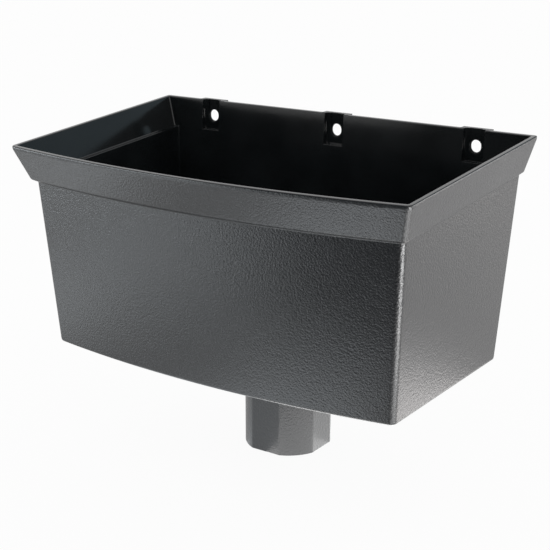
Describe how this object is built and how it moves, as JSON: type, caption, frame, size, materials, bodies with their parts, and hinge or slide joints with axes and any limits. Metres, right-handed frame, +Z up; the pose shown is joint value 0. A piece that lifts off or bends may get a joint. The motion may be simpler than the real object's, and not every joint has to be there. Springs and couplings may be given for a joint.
{
  "type": "downpipe hopper head",
  "caption": "Bow-fronted rainwater hopper head with a flared rim that falls to the front, slotted fixing pockets in its flat back and a flatted outlet spigot for round or square downpipe.",
  "frame": {"origin": "centre of the middle fixing slot, on the wall face: the plane of the three pads that stand out behind the back wall over the slots", "axes": "+X to the right seen from the front, -Y out of the wall to the front, +Z up along the outlet's axis"},
  "size_m": [0.3164, 0.1916, 0.2366],
  "materials": {
    "black_plastic": "black moulded plastic, finely pebbled like cast iron with a satin sheen outside, smooth and glossy inside and on the lip of the rim"
  },
  "bodies": {
    "root": {"hopper_head": "black_plastic"}
  },
  "joints": []
}
